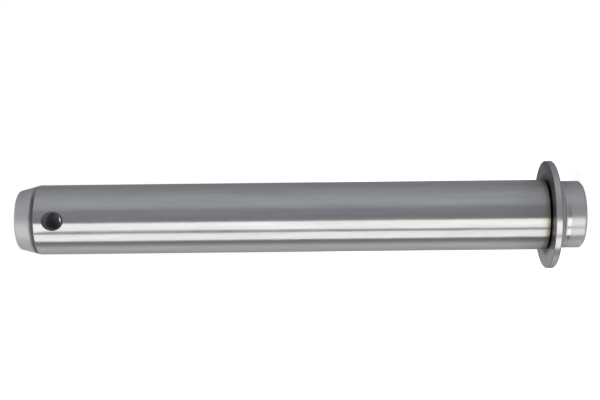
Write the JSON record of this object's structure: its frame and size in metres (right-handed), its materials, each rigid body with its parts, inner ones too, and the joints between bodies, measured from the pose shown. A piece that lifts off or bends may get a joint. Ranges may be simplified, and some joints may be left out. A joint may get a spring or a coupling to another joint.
{
  "type": "arm pin",
  "caption": "Ground steel arm pin with a tapered nose, a bevelled cross hole for a lock bolt, and a welded stop collar behind which a short reduced head stands out.",
  "frame": {"origin": "centre of the head's end face, on which the pin stands", "axes": "+Z along the bar's axis from the head to the nose; the lock bolt's hole runs along Y; X completes the frame"},
  "size_m": [0.077, 0.077, 0.4027],
  "materials": {
    "ground_steel": "hardened and ground to a dull shine, with a matte turned nose and heat tint at the nose's shoulder and beside the collar",
    "turned_steel": "fine turned, satin",
    "weld_metal": "dull grey, wire brushed"
  },
  "bodies": {
    "root": {"pin_bar": "ground_steel", "collar": "turned_steel", "weld_bead": "weld_metal"}
  },
  "joints": []
}
